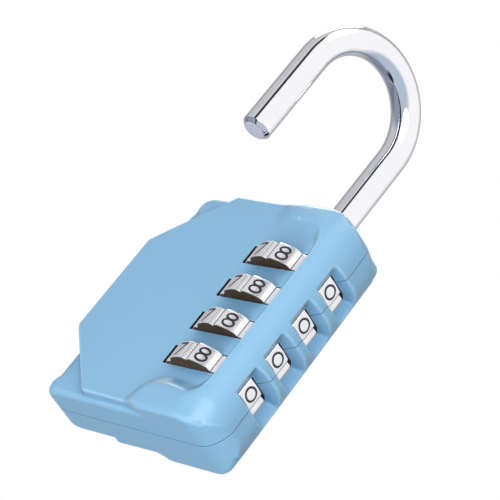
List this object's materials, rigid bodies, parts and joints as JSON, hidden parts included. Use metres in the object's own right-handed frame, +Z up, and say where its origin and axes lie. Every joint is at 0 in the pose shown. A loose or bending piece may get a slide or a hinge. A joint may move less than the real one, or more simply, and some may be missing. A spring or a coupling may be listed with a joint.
{
  "type": "combination padlock",
  "caption": "Open combination padlock: clamshell case with a clipped flat panel, number wheels showing at front and side, and a round U shackle lifted and swivelled forwards.",
  "frame": {"origin": "centre of the case's flat bottom face, in the plane where the two covers meet", "axes": "+Z up along the shackle, -Y is the front with the flat panel, +X is the side with the number wheels"},
  "size_m": [0.0452, 0.0366, 0.0829],
  "materials": {
    "cover_plastic": "satin moulded",
    "cast_core": "as cast zinc",
    "shackle_chrome": "polished plate",
    "dial_metal": "satin plate, black painted numbers",
    "brass": "turned",
    "spring_steel": "plain"
  },
  "bodies": {
    "case": {"front_cover": "cover_plastic", "back_cover": "cover_plastic", "core_block": "cast_core", "core_plug": "cast_core", "plug_pin": "spring_steel", "shackle_bush": "brass", "detent_comb": "spring_steel", "hub_washers": "spring_steel", "shackle_spring": "spring_steel"},
    "lifter": {"spring_follower": "brass"},
    "shackle": {"shackle": "shackle_chrome"},
    "dial_1": {"dial_1": "dial_metal", "hub_1": "brass"},
    "dial_2": {"dial_2": "dial_metal", "hub_2": "brass"},
    "dial_3": {"dial_3": "dial_metal", "hub_3": "brass"},
    "dial_4": {"dial_4": "dial_metal", "hub_4": "brass"}
  },
  "joints": [
    {"name": "shackle_lift", "type": "slide", "parent": "case", "child": "lifter", "axis": [0, 0, 1], "range_m": [-0.008, 0], "stiffness_N_per_m": 200, "springref_m": 0.008, "deforming": ["shackle_spring"]},
    {"name": "shackle_swivel", "type": "hinge", "parent": "lifter", "child": "shackle", "pos_m": [0.0108, 0, 0.0465], "axis": [0, 0, 1], "range_deg": [-81.3, 278.7]},
    {"name": "dial_1_spin", "type": "hinge", "parent": "case", "child": "dial_1", "pos_m": [0.0108, 0, 0.0365], "axis": [0, 0, 1], "continuous": true, "deforming": ["detent_comb"]},
    {"name": "dial_2_spin", "type": "hinge", "parent": "case", "child": "dial_2", "pos_m": [0.0108, 0, 0.0285], "axis": [0, 0, 1], "continuous": true, "deforming": ["detent_comb"]},
    {"name": "dial_3_spin", "type": "hinge", "parent": "case", "child": "dial_3", "pos_m": [0.0108, 0, 0.0205], "axis": [0, 0, 1], "continuous": true, "deforming": ["detent_comb"]},
    {"name": "dial_4_spin", "type": "hinge", "parent": "case", "child": "dial_4", "pos_m": [0.0108, 0, 0.0125], "axis": [0, 0, 1], "continuous": true, "deforming": ["detent_comb"]}
  ]
}
